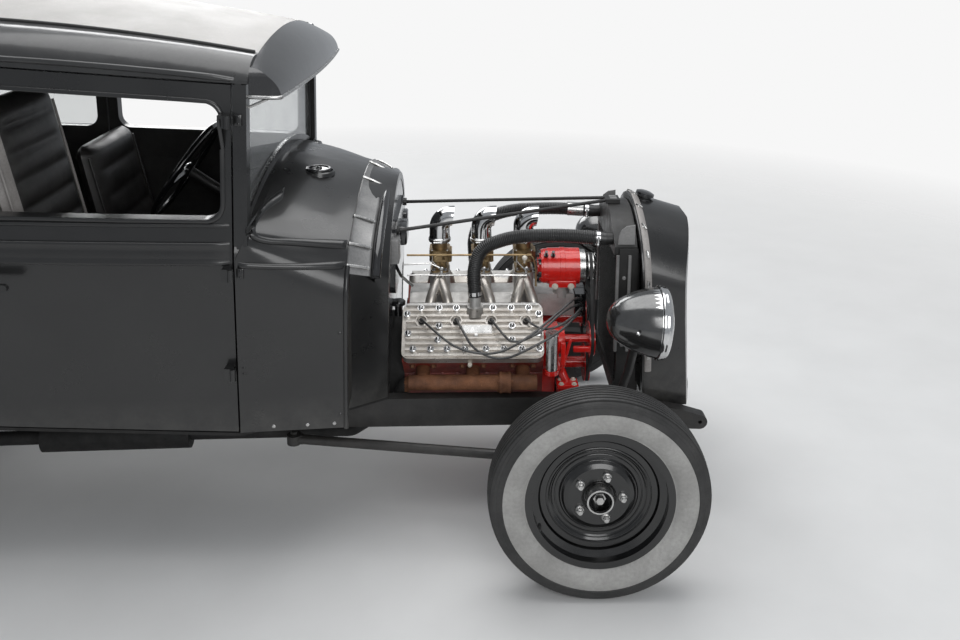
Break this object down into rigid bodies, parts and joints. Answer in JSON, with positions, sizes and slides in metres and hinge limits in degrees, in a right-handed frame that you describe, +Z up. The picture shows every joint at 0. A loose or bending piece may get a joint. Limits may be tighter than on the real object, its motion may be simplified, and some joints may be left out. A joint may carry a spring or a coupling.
{
  "type": "hot rod",
  "caption": "Closed two-door steel car of early pattern on open frame horns, without fenders or hood, its vee engine with finned heads and scoops on show behind a narrow shell",
  "frame": {"origin": "on the ground under the middle of the whole car", "axes": "+X forward along the car, +Y to the car's left, +Z up"},
  "size_m": [3.4954, 1.587, 1.7756],
  "materials": {
    "body_paint": "dark satin grey enamel, mottled and worn",
    "roof_paint": "dark satin enamel",
    "top_fabric": "pale coated top insert, dusty",
    "chassis_paint": "black satin enamel, greasy",
    "wheel_paint": "black gloss enamel",
    "rubber_tyre": "bias-ply rubber with a wide greyish white band",
    "block_paint": "red engine enamel",
    "head_metal": "cast and lightly polished, finned",
    "cast_metal": "sand-cast, dull",
    "carb_metal": "dull brassy castings",
    "bright_metal": "plated, clean",
    "generator_paint": "red enamel",
    "exhaust_rust": "rusty orange-brown iron",
    "core_metal": "black radiator paint",
    "flex_rubber": "black corrugated hose",
    "lamp_enamel": "black gloss shells with bright rims",
    "clear_glass": "clear flat glass",
    "seat_leather": "dark pleated leather with a light side panel",
    "wheel_rim": "black hard rubber",
    "lead_rubber": "black ignition lead",
    "under_metal": "dark enamel with road dirt"
  },
  "bodies": {
    "chassis": {"air_scoops": "bright_metal", "carburettors": "carb_metal", "cowl": "body_paint", "cylinder_heads": "head_metal", "dashboard": "body_paint", "engine_block": "block_paint", "exhaust_manifolds": "exhaust_rust", "firewall": "body_paint", "fixed_glass": "clear_glass", "floor": "under_metal", "frame": "chassis_paint", "front_axle": "chassis_paint", "front_drive": "block_paint", "fuel_cap": "bright_metal", "generator": "generator_paint", "intake_manifold": "cast_metal", "lamps": "lamp_enamel", "plug_leads": "lead_rubber", "radiator": "core_metal", "radiator_hoses": "flex_rubber", "radiator_rods": "chassis_paint", "radiator_shell": "body_paint", "rear_axle": "chassis_paint", "rear_body": "body_paint", "roof": "roof_paint", "roof_insert": "top_fabric", "seats": "seat_leather", "steering_column": "chassis_paint", "suspension": "chassis_paint", "transmission": "under_metal", "visor": "roof_paint"},
    "door_left": {"door_left": "body_paint"},
    "door_right": {"door_right": "body_paint"},
    "knuckle_left": {"knuckle_left": "chassis_paint"},
    "knuckle_right": {"knuckle_right": "chassis_paint"},
    "tie_rod": {"tie_rod": "chassis_paint"},
    "steering_wheel": {"steering_wheel": "wheel_rim"},
    "road_wheel_front_left": {"tyre_front_left": "rubber_tyre", "wheel_front_left": "wheel_paint"},
    "road_wheel_front_right": {"tyre_front_right": "rubber_tyre", "wheel_front_right": "wheel_paint"},
    "road_wheel_rear_left": {"tyre_rear_left": "rubber_tyre", "wheel_rear_left": "wheel_paint"},
    "road_wheel_rear_right": {"tyre_rear_right": "rubber_tyre", "wheel_rear_right": "wheel_paint"}
  },
  "joints": [
    {"name": "door_left_hinge", "type": "hinge", "parent": "chassis", "child": "door_left", "pos_m": [0.25998, 0.645, 0.97749], "axis": [-0.0349, 0, -0.9994], "range_deg": [0, 65]},
    {"name": "door_right_hinge", "type": "hinge", "parent": "chassis", "child": "door_right", "pos_m": [0.25998, -0.645, 0.97749], "axis": [0.0349, 0, 0.9994], "range_deg": [0, 65]},
    {"name": "steer_left", "type": "hinge", "parent": "chassis", "child": "knuckle_left", "pos_m": [1.323, 0.64, 0.329], "axis": [0, 0, 1], "range_deg": [-28, 28]},
    {"name": "steer_right", "type": "hinge", "parent": "chassis", "child": "knuckle_right", "pos_m": [1.323, -0.64, 0.329], "axis": [0, 0, 1], "range_deg": [-28, 28]},
    {"name": "tie_rod_swivel", "type": "hinge", "parent": "knuckle_left", "child": "tie_rod", "pos_m": [1.173, 0.614, 0.258], "axis": [0, 0, 1], "range_deg": [-28, 28]},
    {"name": "steering_wheel_turn", "type": "hinge", "parent": "chassis", "child": "steering_wheel", "pos_m": [-0.13198, 0.285, 1.07123], "axis": [-0.8234, 0, 0.5675], "range_deg": [-420, 420]},
    {"name": "roll_front_left", "type": "hinge", "parent": "knuckle_left", "child": "road_wheel_front_left", "pos_m": [1.323, 0.711, 0.329], "axis": [0, 1, 0], "continuous": true},
    {"name": "roll_front_right", "type": "hinge", "parent": "knuckle_right", "child": "road_wheel_front_right", "pos_m": [1.323, -0.711, 0.329], "axis": [0, 1, 0], "continuous": true},
    {"name": "roll_rear_left", "type": "hinge", "parent": "chassis", "child": "road_wheel_rear_left", "pos_m": [-1.306, 0.711, 0.372], "axis": [0, 1, 0], "continuous": true},
    {"name": "roll_rear_right", "type": "hinge", "parent": "chassis", "child": "road_wheel_rear_right", "pos_m": [-1.306, -0.711, 0.372], "axis": [0, 1, 0], "continuous": true}
  ],
  "couplings": [
    {"joint": "steer_right", "follows": "steer_left", "ratio": 1},
    {"joint": "tie_rod_swivel", "follows": "steer_left", "ratio": -1},
    {"joint": "steering_wheel_turn", "follows": "steer_left", "ratio": -15}
  ]
}
